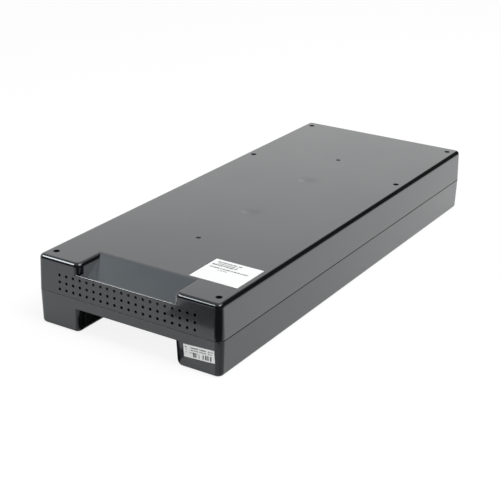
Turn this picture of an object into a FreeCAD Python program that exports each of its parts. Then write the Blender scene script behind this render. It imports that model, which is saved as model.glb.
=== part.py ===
# Plug-in battery cartridge for a rack-mounted uninterruptible power supply.
#
# A two-piece moulded case holds five sealed 12 V blocks lying on their sides, wired in
# series.  Four stand in two columns with their tabs facing a wiring channel, and the fifth
# lies across the back.  The case slides into its bay back end first, where a blind-mate
# connector meets the bay, and is drawn out by the finger recess over the front wall.
#
# Millimetres.  Origin at the middle of the underside, +Z up, the pull end faces -Y.
import FreeCAD, Part
import math
import os
import re
import Sketcher

Vector = FreeCAD.Vector
doc = FreeCAD.newDocument("BatteryCartridge")

# ---------------------------------------------------------------- driving dimensions
SIZES = [
    # case shells
    ("wall", 2.5, "moulded wall of both shells"),
    ("draft_angle", 1.6, "draft of the side walls, both ways from the parting line"),
    ("parting_height", 35.5, "where the two shells meet"),
    ("corner_radius", 7, "upright corners of the case, the recess and the notch"),
    ("top_edge_radius", 4.2, "round along the top edge"),
    ("bottom_edge_radius", 3.5, "round along the bottom edge"),
    ("parting_chamfer", 0.4, "bevel on each shell along the parting line"),
    ("tongue_depth", 3, "how far the cover's tongue reaches into the tray"),
    ("tongue_thickness", 1, "tongue inside the tray's rim"),
    ("tongue_clearance", 0.15, "gap all round the tongue"),
    # finger recess in the cover
    ("recess_width", 106, "between the recess's side walls"),
    ("ramp_start", 35.5, "from the front wall back to the head of the ramp"),
    ("ramp_angle", 35.6, "slope of the ramp"),
    ("recess_floor", 53, "height of the trough behind the lip"),
    ("lip_height", 60, "height of the lip's top"),
    ("lip_thickness", 2.6, "lip between the trough and the front"),
    ("ramp_head_radius", 6, "round where the ramp leaves the top"),
    ("lip_radius", 1, "round on the lip"),
    # notch under the front of the tray
    ("notch_width", 106, "between the notch's side walls at its ceiling"),
    ("notch_flare", 1.5, "how much each side wall has moved out at the bottom"),
    ("notch_height", 25.5, "clear height under the notch's ceiling"),
    ("notch_depth", 48, "from the front wall to the end of the notch"),
    # vents in the front wall
    ("vent_diameter", 3, "one vent hole"),
    ("vent_columns", 20, "holes in a row"),
    ("vent_rows", 3, "rows"),
    ("vent_pitch_across", 8.07, "between columns"),
    ("vent_pitch_up", 7.1, "between rows"),
    ("vent_middle_height", 48.4, "height of the middle row"),
    # case screws
    ("screw_side_inset", 12, "screw axis from the side of the case"),
    ("screw_front_inset", 15.5, "front pair from the front"),
    ("screw_rear_inset", 16, "rear pair from the back"),
    ("screw_well_diameter", 6.4, "well that the head drops into"),
    ("screw_web", 3.5, "web under the head, above the parting line"),
    ("well_wall", 1.5, "wall round the well"),
    ("post_diameter", 8, "tray post that the screw bites into"),
    ("screw_head_diameter", 5.6, "pan head"),
    ("screw_head_height", 2.4, "pan head"),
    ("shank_diameter", 3, "shank, thread left plain"),
    ("screw_length", 14, "under the head"),
    ("shank_clearance", 0.2, "round the shank in the web"),
    ("pilot_clearance", 0.05, "round the shank in the post"),
    ("rib_thickness", 1.6, "locating ribs and gussets"),
    ("rib_height", 8, "locating ribs above the floor"),
    ("gusset_height", 22, "gussets beside the posts, above the floor"),
    ("cover_rib_depth", 6, "cross rib under the cover's top"),
    ("cover_rib_inset", 36.5, "cross rib from the front"),
    ("gate_mark_diameter", 5, "moulding gate marks in the cover's top"),
    ("gate_mark_depth", 0.3, "gate marks"),
    ("gate_mark_front", 118, "front gate mark from the front"),
    ("gate_mark_rear", 403.5, "rear gate mark from the front"),
    # sealed blocks
    ("block_length", 151, "12 V sealed block"),
    ("block_thickness", 65, "12 V sealed block, upright when it lies on its side"),
    ("block_height", 94, "12 V sealed block without its tabs"),
    ("block_edge_radius", 2, "block's upright edges"),
    ("lid_height", 11, "moulded lid band under the tabs"),
    ("lid_groove", 0.8, "groove where the lid is sealed on"),
    ("vent_strip_length", 50, "raised cover over the block's valves"),
    ("vent_strip_width", 26, "raised cover over the block's valves"),
    ("vent_strip_height", 1.2, "raised cover over the block's valves"),
    ("tab_width", 6.35, "push-on tab"),
    ("tab_thickness", 0.8, "push-on tab"),
    ("tab_reach", 6.35, "push-on tab above the lid"),
    ("tab_foot", 1.5, "how far the tab is let into the lid"),
    ("tab_end_inset", 13, "tabs from the block's end"),
    ("tab_spacing", 39, "between a block's two tabs"),
    ("front_bay", 58.8, "from the front of the case to the first row of blocks"),
    ("row_gap", 0.3, "between blocks in a column, and at their stops"),
    ("side_clearance", 0.3, "between a block and the side wall at the floor"),
    ("channel_width", 12.4, "wiring channel between the columns"),
    ("foam_thickness", 1, "foam between the blocks and the cover"),
    ("foam_inset", 8, "foam in from the blocks' edges"),
    ("rear_bay", 55, "from the last block to the back of the case"),
    # wiring
    ("lead_diameter", 3.3, "insulated lead"),
    ("lead_bend", 10, "bend radius of a lead's centre line round the blocks"),
    ("link_bend", 30, "bend radius where a link leaves its tab"),
    ("link_run", 22, "straight start and end of a slanting link"),
    ("floor_lead_height", 6.6, "centre of the lead that runs along the floor"),
    ("sleeve_length", 8, "flag receptacle over a tab, outwards"),
    ("sleeve_width", 8.4, "flag receptacle over a tab, along the tab"),
    ("sleeve_thickness", 4.4, "flag receptacle over a tab"),
    ("sleeve_gap", 0.3, "between a receptacle and the lid"),
    ("barrel_diameter", 5.4, "crimp barrel beside the receptacle"),
    ("barrel_length", 4, "crimp barrel beside the receptacle"),
    ("slip", 0.1, "clearance of push-on and crimped fits"),
    ("route_clearance", 7.5, "leads that pass the rear block, from its end"),
    # fuse
    ("fuse_diameter", 10.3, "cartridge fuse"),
    ("fuse_length", 38, "cartridge fuse"),
    ("cap_length", 9.5, "end cap of the fuse"),
    ("cap_step", 0.4, "cap stands proud of the fuse's body"),
    ("clip_thickness", 0.8, "spring clip"),
    ("clip_width", 7, "spring clip along the fuse"),
    ("base_height", 4, "fuse base on the floor"),
    ("base_width", 11.6, "fuse base"),
    ("base_end", 3, "fuse base past the fuse"),
    # blind-mate connector
    ("connector_width", 60, "connector body"),
    ("connector_height", 24, "connector body"),
    ("connector_depth", 34, "connector body"),
    ("connector_recess", 1.2, "connector face in from the back of the case"),
    ("connector_float", 0.5, "play of the connector in its window"),
    ("flange_reach", 4, "flange round the connector body"),
    ("flange_thickness", 3, "flange round the connector body"),
    ("socket_width", 9, "power socket"),
    ("socket_height", 16, "power socket"),
    ("socket_depth", 24, "power socket"),
    ("contact_spacing", 30, "between the two power sockets"),
    ("contact_thickness", 3, "power contact blade"),
    ("contact_width", 11, "power contact blade"),
    ("contact_reach", 14, "power contact blade inside its socket"),
    ("stub_diameter", 5.4, "crimp stub behind a contact"),
    ("stub_length", 3.5, "crimp stub behind the connector"),
    ("pin_count", 4, "signal pins"),
    ("pin_diameter", 1.2, "signal pin"),
    ("pin_pitch", 3.2, "between signal pins"),
    ("pin_reach", 5, "signal pin inside its socket"),
    ("signal_width", 15, "signal socket"),
    ("signal_height", 6, "signal socket"),
    ("signal_depth", 12, "signal socket"),
    # labels
    ("label_thickness", 0.12, "paper labels"),
    ("top_label_width", 51.8, "label on the cover"),
    ("top_label_length", 45.5, "label on the cover"),
    ("top_label_side_inset", 8.7, "label on the cover, from the side"),
    ("top_label_front_inset", 39.5, "label on the cover, from the front"),
    ("front_label_width", 33, "label on the tray's front"),
    ("front_label_height", 12.6, "label on the tray's front"),
    ("front_label_side_inset", 23, "middle of the label on the tray's front, from the side"),
    ("front_label_rise", 19.1, "middle of the label on the tray's front"),
    ("front_label_tilt", 3.4, "the label on the tray's front sits askew"),
]

# Sizes that follow from the driving ones.
DERIVED = [
    ("floor", "wall"),
    ("draft_slope", "tan(draft_angle * 1deg)"),
    ("foot_inset", "parting_height * draft_slope"),
    ("column_width", "2 * (wall + foot_inset + side_clearance + block_height)"),
    ("case_width", "column_width + channel_width"),
    ("well_diameter", "screw_well_diameter + 2 * well_wall"),
    ("case_height", "2 * wall + block_thickness + foam_thickness"),
    ("columns_end", "front_bay + 2 * block_length + row_gap"),
    ("middle_screw_inset", "columns_end + row_gap + well_diameter / 2"),
    ("rear_block_front", "middle_screw_inset + well_diameter / 2 + row_gap"),
    ("case_length", "rear_block_front + block_height + rear_bay"),
    ("half_width", "case_width / 2"),
    ("front", "-case_length / 2"),
    ("back", "case_length / 2"),
    ("top_inset", "(case_height - parting_height) * draft_slope"),
    ("screw_x", "half_width - screw_side_inset"),
    ("screw_seat", "parting_height + screw_web"),
    ("ramp_slope", "tan(ramp_angle * 1deg)"),
    ("ramp_head", "front + ramp_start"),
    ("trough_back", "ramp_head - (case_height - recess_floor) / ramp_slope"),
    ("lip_back", "front + (lip_height - parting_height) * draft_slope + lip_thickness"),
    ("block_middle", "floor + block_thickness / 2"),
    ("tab_low", "block_middle - tab_spacing / 2"),
    ("tab_high", "block_middle + tab_spacing / 2"),
    ("column_x", "channel_width / 2 + block_height / 2"),
    ("row_one", "front + front_bay + block_length / 2"),
    ("row_two", "row_one + block_length + row_gap"),
    ("rear_block_y", "front + rear_block_front + block_height / 2"),
    ("tab_shift", "block_length / 2 - tab_end_inset"),
    ("cross_gap", "front + middle_screw_inset"),
    ("rear_face", "front + rear_block_front + block_height"),
    ("rear_leads", "rear_face + channel_width / 2"),
    ("lead_start", "sleeve_width / 2"),
    ("connector_face", "back - connector_recess"),
    ("connector_middle", "parting_height"),
    ("connector_rear", "connector_face - connector_depth"),
    ("flange_half_height", "connector_height / 2 + flange_reach"),
    ("flange_back", "back - wall - flange_half_height * draft_slope - row_gap"),
    ("flange_front", "flange_back - flange_thickness"),
    ("fuse_seat", "connector_middle - fuse_diameter / 2 - slip - clip_thickness"),
    ("route_side", "block_length / 2 + route_clearance"),
    ("fuse_middle", "(contact_spacing / 2 + route_side) / 2"),
    ("fuse_left", "fuse_middle - fuse_length / 2"),
    ("fuse_right", "fuse_middle + fuse_length / 2"),
]

sheet = doc.addObject("Spreadsheet::Sheet", "Sizes")
for row, (alias, size, note) in enumerate(SIZES, 1):
    sheet.set(f"A{row}", alias)
    sheet.set(f"B{row}", str(size))
    sheet.set(f"C{row}", note)
    sheet.setAlias(f"B{row}", alias)
doc.recompute()

OWNER = {alias: "Sizes" for alias, _, _ in SIZES}
OWNER.update({name: "Places" for name, _ in DERIVED})


def expression(text):
    """Name the object that holds each size, so that FreeCAD can find it."""
    return re.sub(r"[a-z][a-z_]+", lambda word: owned(word.group()), str(text))


def owned(word):
    return f"{OWNER[word]}.{word}" if word in OWNER else word


places = doc.addObject("App::VarSet", "Places")
for name, text in DERIVED:
    places.addProperty("App::PropertyFloat", name, "Derived")
    places.setExpression(name, expression(text))
doc.recompute()


def value(text):
    """The present value of a size or of a formula in sizes."""
    return float(sheet.evalExpression(expression(text)))


def bind(item, **formulas):
    """Tie properties to formulas in sizes; x, y and z tie the item's place."""
    for name, text in formulas.items():
        path = f".Placement.Base.{name}" if name in ("x", "y", "z") else name
        item.setExpression(path, expression(text))
    return item


# ---------------------------------------------------------------- sketches
def sketch_on(body, role, name, lift="0"):
    """A sketch on one of the body's own origin planes, lifted off it along its normal."""
    sketch = body.newObject("Sketcher::SketchObject", name)
    plane = next(item for item in body.Origin.OriginFeatures if item.Role == role)
    sketch.AttachmentSupport = [(plane, "")]
    sketch.MapMode = "FlatFace"
    sketch.setExpression(".AttachmentOffset.Base.z", expression(lift))
    return sketch


def fix(sketch, kind, geometry, point, text):
    """Hold a point's distance from the sketch's origin to a formula."""
    index = sketch.addConstraint(Sketcher.Constraint(kind, -1, 1, geometry, point, value(text)))
    sketch.setExpression(f"Constraints[{index}]", expression(text))


def polygon(sketch, corners):
    """A closed outline whose corners are (across, up) formulas."""
    points = [Vector(value(across), value(up), 0) for across, up in corners]
    first = sketch.GeometryCount
    for start, end in zip(points, points[1:] + points[:1]):
        sketch.addGeometry(Part.LineSegment(start, end), False)
    for index, (across, up) in enumerate(corners):
        line, following = first + index, first + (index + 1) % len(corners)
        sketch.addConstraint(Sketcher.Constraint("Coincident", line, 2, following, 1))
        fix(sketch, "DistanceX", line, 1, across)
        fix(sketch, "DistanceY", line, 1, up)


def rectangle(sketch, left, right, low, high):
    polygon(sketch, [(left, low), (right, low), (right, high), (left, high)])


def rounded_rectangle(sketch, width, depth, radius, centre="0"):
    """A rectangle with equal arcs for corners; centre is its height in the sketch."""
    across, up, bend = value(f"({width}) / 2"), value(f"({depth}) / 2"), value(radius)
    first = sketch.GeometryCount
    turns = [(across - bend, bend - up, -90), (across - bend, up - bend, 0),
             (bend - across, up - bend, 90), (bend - across, bend - up, 180)]
    arcs = []
    for middle_x, middle_y, start in turns:
        hub = Vector(middle_x, middle_y + value(centre), 0)
        ring = Part.Circle(hub, Vector(0, 0, 1), bend)
        arcs.append(Part.ArcOfCircle(ring, math.radians(start), math.radians(start + 90)))
    for index, arc in enumerate(arcs):
        before = arcs[index - 1]
        sketch.addGeometry(Part.LineSegment(before.EndPoint, arc.StartPoint), False)
        sketch.addGeometry(arc, False)
    for side in range(4):
        line, arc = first + 2 * side, first + 2 * side + 1
        following = first + (2 * side + 2) % 8
        direction = "Horizontal" if side % 2 == 0 else "Vertical"
        sketch.addConstraint(Sketcher.Constraint(direction, line))
        sketch.addConstraint(Sketcher.Constraint("Tangent", line, 2, arc, 1))
        sketch.addConstraint(Sketcher.Constraint("Tangent", arc, 2, following, 1))
    for side in range(1, 4):
        sketch.addConstraint(Sketcher.Constraint("Equal", first + 1, first + 2 * side + 1))
    index = sketch.addConstraint(Sketcher.Constraint("Radius", first + 1, bend))
    sketch.setExpression(f"Constraints[{index}]", expression(radius))
    fix(sketch, "DistanceY", first, 1, f"{centre} - ({depth}) / 2")
    fix(sketch, "DistanceX", first + 2, 1, f"({width}) / 2")
    fix(sketch, "DistanceY", first + 4, 1, f"{centre} + ({depth}) / 2")
    fix(sketch, "DistanceX", first + 6, 1, f"-({width}) / 2")


def circle(sketch, across, up, diameter):
    middle = Vector(value(across), value(up), 0)
    index = sketch.addGeometry(Part.Circle(middle, Vector(0, 0, 1), value(diameter) / 2), False)
    fix(sketch, "DistanceX", index, 3, across)
    fix(sketch, "DistanceY", index, 3, up)
    size = sketch.addConstraint(Sketcher.Constraint("Diameter", index, value(diameter)))
    sketch.setExpression(f"Constraints[{size}]", expression(diameter))


# ---------------------------------------------------------------- features
def new_body(label):
    body = doc.addObject("PartDesign::Body", label)
    body.Label = label
    return body


def extrude(body, kind, sketch, name, length, both_ways=False, reverse=False):
    """A Pad or Pocket of a sketch, checked to have changed the solid it grew from."""
    before = 0 if body.Tip is None else body.Tip.Shape.Volume
    feature = body.newObject(f"PartDesign::{kind}", name)
    feature.Profile = sketch
    feature.SideType = "Symmetric" if both_ways else "One side"
    feature.Reversed = reverse
    feature.setExpression("Length", expression(length))
    doc.recompute()
    change = feature.Shape.Volume - before
    if change * (1 if kind == "Pad" else -1) <= 0:
        raise RuntimeError(f"{body.Label}: {name} changed nothing")
    return feature


def pad(body, sketch, name, length, **sides):
    return extrude(body, "Pad", sketch, name, length, **sides)


def pocket(body, sketch, name, length, **sides):
    return extrude(body, "Pocket", sketch, name, length, **sides)


def dress(body, kind, name, size, wanted):
    """A Fillet or Chamfer on the edges of the body that pass a test."""
    base = body.Tip
    edges = [f"Edge{index}" for index, edge in enumerate(base.Shape.Edges, 1) if wanted(edge)]
    feature = body.newObject(f"PartDesign::{kind}", name)
    feature.Base = (base, edges)
    feature.setExpression("Radius" if kind == "Fillet" else "Size", expression(size))
    doc.recompute()
    return feature


def middle(edge):
    return edge.valueAt((edge.FirstParameter + edge.LastParameter) / 2)


def near(first, second, slack=0.05):
    return abs(first - second) < slack


def level(edge, height):
    """Whether an edge lies flat at a height."""
    return all(near(vertex.Z, height) for vertex in edge.Vertexes) and near(middle(edge).z, height)


# ---------------------------------------------------------------- case shells
def drafted_box(body, height, upwards, inset="0"):
    """A rounded box grown from the parting plane, its sides drafted; inset shrinks it."""
    outline = sketch_on(body, "XY_Plane", "Outline", "parting_height")
    rounded_rectangle(outline, f"case_width - 2 * {inset}", f"case_length - 2 * {inset}",
                      f"corner_radius - {inset}")
    block = pad(body, outline, "Block", f"{height} - {inset}", reverse=not upwards)
    draft = body.newObject("PartDesign::Draft", "Draft")
    faces = list(enumerate(block.Shape.Faces, 1))
    sides = [f"Face{index}" for index, face in faces if near(face.normalAt(0, 0).z, 0)]
    parting = [f"Face{index}" for index, face in faces
               if near(face.BoundBox.ZMin, value("parting_height"))
               and near(face.BoundBox.ZMax, value("parting_height"))]
    draft.Base = (block, sides)
    draft.NeutralPlane = (block, parting)
    draft.Reversed = not upwards
    bind(draft, Angle="draft_angle")
    doc.recompute()


def hollow_out(body, core):
    """Cut the mould's core from the case's outer form."""
    cut = body.newObject("PartDesign::Boolean", "Hollow")
    cut.Type = "Cut"
    cut.Group = [core]
    doc.recompute()


def screw_places():
    """(across, along) of the six case screws."""
    rows = ["front + screw_front_inset", "cross_gap", "back - screw_rear_inset"]
    return [(side + "screw_x", row) for row in rows for side in ("-", "")]


def on_outline(point):
    """Whether a point lies on the outer outline at the parting line."""
    bend = value("corner_radius")
    across = abs(point.x) - value("half_width") + bend
    along = abs(point.y) - value("back") + bend
    reach = math.hypot(across, along) if min(across, along) > 0 else max(across, along)
    return near(reach, bend)


def bevel_parting_edge(body):
    height = value("parting_height")
    dress(body, "Chamfer", "PartingBevel", "parting_chamfer",
          lambda edge: level(edge, height) and on_outline(middle(edge)))


def connector_window(body, low, high):
    """Half of the window in the back wall that the connector looks through."""
    opening = sketch_on(body, "XZ_Plane", "Window", "-back")
    half = "(connector_width / 2 + connector_float)"
    rectangle(opening, f"-{half}", half, low, high)
    pocket(body, opening, "ConnectorWindow", "2 * wall", reverse=True)


def make_upper_shell():
    body = new_body("upper_shell")
    height, top = "case_height - parting_height", value("case_height")
    drafted_box(body, height, upwards=True)

    # finger recess, open to the front above the lip
    opening = sketch_on(body, "YZ_Plane", "RecessSide")
    polygon(opening, [
        ("front - wall", "lip_height"),
        ("ramp_head - (case_height - lip_height) / ramp_slope", "lip_height"),
        ("ramp_head + wall / ramp_slope", "case_height + wall"),
        ("front - wall", "case_height + wall"),
    ])
    pocket(body, opening, "Recess", "recess_width", both_ways=True)
    side, lip, front = value("recess_width / 2"), value("lip_height"), value("front")

    def mouth_corner(edge):
        at = middle(edge)
        upright = abs(edge.tangentAt(edge.FirstParameter).z) > 0.9
        in_front = lip < at.z < top and at.y < front + value("wall")
        return upright and in_front and near(abs(at.x), side)

    def ramp_head(edge):
        at = middle(edge)
        return level(edge, top) and near(at.y, value("ramp_head"), 1) and near(at.x, 0)

    def lip_edge(edge):
        at = middle(edge)
        return level(edge, lip) and near(at.x, 0) and at.y < value("lip_back") + 0.1

    dress(body, "Fillet", "RecessMouth", "corner_radius", mouth_corner)
    dress(body, "Fillet", "TopEdge", "top_edge_radius",
          lambda edge: level(edge, top) and not ramp_head(edge))

    # trough behind the lip
    trough = sketch_on(body, "YZ_Plane", "TroughSide")
    polygon(trough, [
        ("lip_back", "lip_height + wall"),
        ("lip_back", "recess_floor"),
        ("trough_back", "recess_floor"),
        ("ramp_head - (case_height - lip_height - wall) / ramp_slope", "lip_height + wall"),
    ])
    pocket(body, trough, "Trough", "recess_width", both_ways=True)
    dress(body, "Fillet", "RampHead", "ramp_head_radius", ramp_head)
    dress(body, "Fillet", "Lip", "lip_radius", lip_edge)

    # the core leaves a wall under the recess
    core = new_body("cover_core")
    drafted_box(core, height, upwards=True, inset="wall")
    under = "ramp_head + wall / sin(ramp_angle * 1deg)"
    housing = sketch_on(core, "YZ_Plane", "RecessHousing")
    polygon(housing, [
        ("front - wall", "recess_floor - wall"),
        (f"{under} - (case_height - recess_floor + wall) / ramp_slope", "recess_floor - wall"),
        (under, "case_height"),
        ("front - wall", "case_height"),
    ])
    pocket(core, housing, "Housing", "recess_width + 2 * wall", both_ways=True)
    hollow_out(body, core)

    # tongue that drops inside the tray's rim
    tongue = sketch_on(body, "XY_Plane", "TongueRing", "parting_height")
    land = "(wall - tongue_thickness)"
    rounded_rectangle(tongue, f"case_width - 2 * {land}", f"case_length - 2 * {land}",
                      f"corner_radius - {land}")
    rounded_rectangle(tongue, "case_width - 2 * wall", "case_length - 2 * wall",
                      "corner_radius - wall")
    pad(body, tongue, "Tongue", "tongue_depth", reverse=True)

    # screw wells hang from the top down to the parting plane
    tubes = sketch_on(body, "XY_Plane", "WellTubes", "parting_height")
    for across, along in screw_places():
        circle(tubes, across, along, "well_diameter")
    pad(body, tubes, "Wells", "case_height - parting_height - wall / 2")
    rib = sketch_on(body, "XY_Plane", "CoverRib", "case_height - wall - cover_rib_depth")
    rectangle(rib, "-half_width + wall + top_inset", "half_width - wall - top_inset",
              "front + cover_rib_inset", "front + cover_rib_inset + rib_thickness")
    pad(body, rib, "CrossRib", "cover_rib_depth + wall / 2")
    drops = sketch_on(body, "XY_Plane", "WellDrops", "screw_seat")
    for across, along in screw_places():
        circle(drops, across, along, "screw_well_diameter")
    pocket(body, drops, "WellBores", "case_height - screw_seat", reverse=True)
    webs = sketch_on(body, "XY_Plane", "WebHoles", "parting_height")
    for across, along in screw_places():
        circle(webs, across, along, "shank_diameter + 2 * shank_clearance")
    pocket(body, webs, "Webs", "screw_web", reverse=True)

    # vents: one hole, repeated across and up
    vent = sketch_on(body, "XZ_Plane", "Vent", "-front")
    circle(vent, "-vent_pitch_across * (vent_columns - 1) / 2",
           "vent_middle_height - vent_pitch_up * (vent_rows - 1) / 2", "vent_diameter")
    first_vent = pocket(body, vent, "FirstVent", "wall + top_inset")
    grid = body.newObject("PartDesign::MultiTransform", "VentGrid")
    grid.Originals = [first_vent]
    steps = []
    for axis, pitch, count in (("H_Axis", "vent_pitch_across", "vent_columns"),
                               ("V_Axis", "vent_pitch_up", "vent_rows")):
        step = body.newObject("PartDesign::LinearPattern", "VentStep")
        step.Direction = (vent, [axis])
        bind(step, Length=f"{pitch} * ({count} - 1)", Occurrences=count)
        steps.append(step)
    grid.Transformations = steps
    body.Tip = grid
    doc.recompute()

    connector_window(body, "parting_height - tongue_depth - wall",
                     "connector_middle + connector_height / 2 + connector_float")
    marks = sketch_on(body, "XY_Plane", "GateMarks", "case_height")
    for inset in ("gate_mark_front", "gate_mark_rear"):
        circle(marks, "0", f"front + {inset}", "gate_mark_diameter")
    pocket(body, marks, "Gates", "gate_mark_depth")
    bevel_parting_edge(body)
    return body


def make_lower_shell():
    body = new_body("lower_shell")
    drafted_box(body, "parting_height", upwards=False)
    dress(body, "Fillet", "BottomEdge", "bottom_edge_radius", lambda edge: level(edge, 0))

    def cut_notch(target, grow):
        """A flared notch under the front, grown by a wall in the core."""
        sketch = sketch_on(target, "XZ_Plane", "NotchSide", "-front")
        half, base = f"(notch_width / 2 + {grow})", f"{grow} - wall"
        polygon(sketch, [
            (f"-({half} + notch_flare)", base),
            (f"{half} + notch_flare", base),
            (half, f"notch_height + {grow}"),
            (f"-{half}", f"notch_height + {grow}"),
        ])
        pocket(target, sketch, "Notch", f"notch_depth + {grow}")
        low, high = value("floor"), value("notch_height")
        deep = value("front + 2 * wall")
        inner, outer = value(half), value(f"{half} + notch_flare")

        def upright(edge):
            at = middle(edge)
            return low < at.z < high and at.y < deep and inner < abs(at.x) < outer

        dress(target, "Fillet", "NotchCorners", f"corner_radius - {grow}", upright)

    cut_notch(body, "0")
    core = new_body("tray_core")
    drafted_box(core, "parting_height", upwards=False, inset="wall")
    cut_notch(core, "wall")
    hollow_out(body, core)

    # rabbet inside the rim that takes the cover's tongue
    rim = sketch_on(body, "XY_Plane", "Rabbet", "parting_height")
    land = "(wall - tongue_thickness - tongue_clearance)"
    rounded_rectangle(rim, f"case_width - 2 * {land}", f"case_length - 2 * {land}",
                      f"corner_radius - {land}")
    pocket(body, rim, "RimRabbet", "tongue_depth + tongue_clearance")

    # posts under the cover's wells, each braced to the side wall
    posts = sketch_on(body, "XY_Plane", "PostFeet", "wall / 2")
    for across, along in screw_places():
        circle(posts, across, along, "post_diameter")
    pad(body, posts, "Posts", "parting_height - wall / 2")
    braces = sketch_on(body, "XY_Plane", "Gussets", "wall / 2")
    for across, along in screw_places():
        side = "-" if across.startswith("-") else ""
        inner, outer = f"{side}(screw_x + post_diameter / 4)", f"{side}(half_width - wall)"
        ends = (outer, inner) if side else (inner, outer)
        rectangle(braces, *ends, f"{along} - rib_thickness / 2", f"{along} + rib_thickness / 2")
    pad(body, braces, "PostGussets", "gusset_height + wall / 2")
    pilots = sketch_on(body, "XY_Plane", "Pilots", "parting_height")
    for across, along in screw_places():
        circle(pilots, across, along, "shank_diameter + 2 * pilot_clearance")
    pocket(body, pilots, "PilotHoles", "screw_length")

    # ribs that locate the blocks on the floor
    low = sketch_on(body, "XY_Plane", "LocatingRibs", "wall / 2")
    inner = "(channel_width / 2 - row_gap - rib_thickness)"
    outer = "(channel_width / 2 - row_gap)"
    columns = ("front + front_bay", "front + columns_end")
    rectangle(low, f"-{outer}", f"-{inner}", *columns)
    rectangle(low, inner, outer, *columns)
    inner = "(block_length / 2 + row_gap)"
    outer = "(block_length / 2 + row_gap + rib_thickness)"
    rear = ("front + rear_block_front", "rear_face")
    rectangle(low, f"-{outer}", f"-{inner}", *rear)
    rectangle(low, inner, outer, *rear)
    stop = "rear_face + row_gap"
    rectangle(low, "-connector_width", "fuse_left - base_end - rib_thickness",
              stop, f"{stop} + rib_thickness")
    pad(body, low, "BlockRibs", "rib_height + wall / 2")
    tall = sketch_on(body, "XY_Plane", "FrontStop", "wall / 2")
    stop = "front + front_bay - row_gap"
    rectangle(tall, "-half_width + foot_inset + wall / 2", "half_width - foot_inset - wall / 2",
              f"{stop} - rib_thickness", stop)
    pad(body, tall, "FrontStopRib", "gusset_height + wall / 2")

    # two walls that carry the fuse base, and the connector's cradle
    walls = sketch_on(body, "XY_Plane", "FuseWalls", "wall / 2")
    for left in ("fuse_left", "fuse_right - rib_thickness"):
        rectangle(walls, left, f"{left} + rib_thickness",
                  "rear_leads - base_width / 2", "rear_leads + base_width / 2")
    pad(body, walls, "FuseRibs", "fuse_seat - base_height - wall / 2")
    cradle = sketch_on(body, "XY_Plane", "Cradle", "wall / 2")
    rectangle(cradle, "-connector_width / 2", "connector_width / 2", "flange_front", "flange_back")
    pad(body, cradle, "CradleRib",
        "connector_middle - flange_half_height - row_gap - wall / 2")
    cheeks = sketch_on(body, "XY_Plane", "Cheeks", "wall / 2")
    for side in ("-", ""):
        near_side = f"{side}(connector_width / 2 + connector_float)"
        far_side = f"{side}(connector_width / 2 + flange_reach + wall)"
        ends = (far_side, near_side) if side else (near_side, far_side)
        rectangle(cheeks, *ends, "flange_front - row_gap - rib_thickness", "flange_front - row_gap")
    pad(body, cheeks, "CheekRibs", "parting_height - tongue_depth - wall / 2")

    connector_window(body, "connector_middle - connector_height / 2 - connector_float",
                     "parting_height + wall")
    bevel_parting_edge(body)
    return body


# ---------------------------------------------------------------- repeated pieces
WORLD = "xyz"


def place(label, master, spot, across, outward):
    """A copy of a master piece, its x and z axes turned to the given directions."""
    copy = doc.addObject("Part::Compound", label)
    copy.Label = label
    copy.Links = [master]
    third = Vector(*outward).cross(Vector(*across))
    turn = FreeCAD.Rotation(Vector(*across), third, Vector(*outward), "ZXY")
    copy.Placement = FreeCAD.Placement(Vector(), turn)
    return bind(copy, **dict(zip(WORLD, spot)))


def gather(label, pieces):
    """Like pieces kept together as one named group of separate solids."""
    group = doc.addObject("Part::Compound", label)
    group.Label = label
    group.Links = pieces
    return group


def make_screw():
    """Pan-head screw, origin under the head, point down."""
    body = new_body("screw_pattern")
    half = sketch_on(body, "XZ_Plane", "HalfSection")
    polygon(half, [
        ("0", "-screw_length"),
        ("shank_diameter / 4", "-screw_length"),
        ("shank_diameter / 2", "-screw_length + shank_diameter"),
        ("shank_diameter / 2", "0"),
        ("screw_head_diameter / 2", "0"),
        ("screw_head_diameter / 2", "screw_head_height / 2"),
        ("screw_head_diameter / 3", "screw_head_height"),
        ("0", "screw_head_height"),
    ])
    turned = body.newObject("PartDesign::Revolution", "Turned")
    turned.Profile = half
    turned.ReferenceAxis = (half, ["V_Axis"])
    turned.Angle = 360
    doc.recompute()
    cross = sketch_on(body, "XY_Plane", "Cross", "screw_head_height")
    long, thin = "screw_head_diameter / 4", "screw_head_diameter / 14"
    polygon(cross, [
        (f"-{long}", f"-{thin}"), (f"-{thin}", f"-{thin}"), (f"-{thin}", f"-{long}"),
        (thin, f"-{long}"), (thin, f"-{thin}"), (long, f"-{thin}"),
        (long, thin), (thin, thin), (thin, long),
        (f"-{thin}", long), (f"-{thin}", thin), (f"-{long}", thin),
    ])
    pocket(body, cross, "CrossRecess", "screw_head_height / 2")
    return body


def make_case_screws():
    pattern = make_screw()
    copies = [place(f"case_screw_{number}", pattern, (*spot, "screw_seat"), (1, 0, 0), (0, 0, 1))
              for number, spot in enumerate(screw_places(), 1)]
    return [gather("case_screws", copies)]


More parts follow.
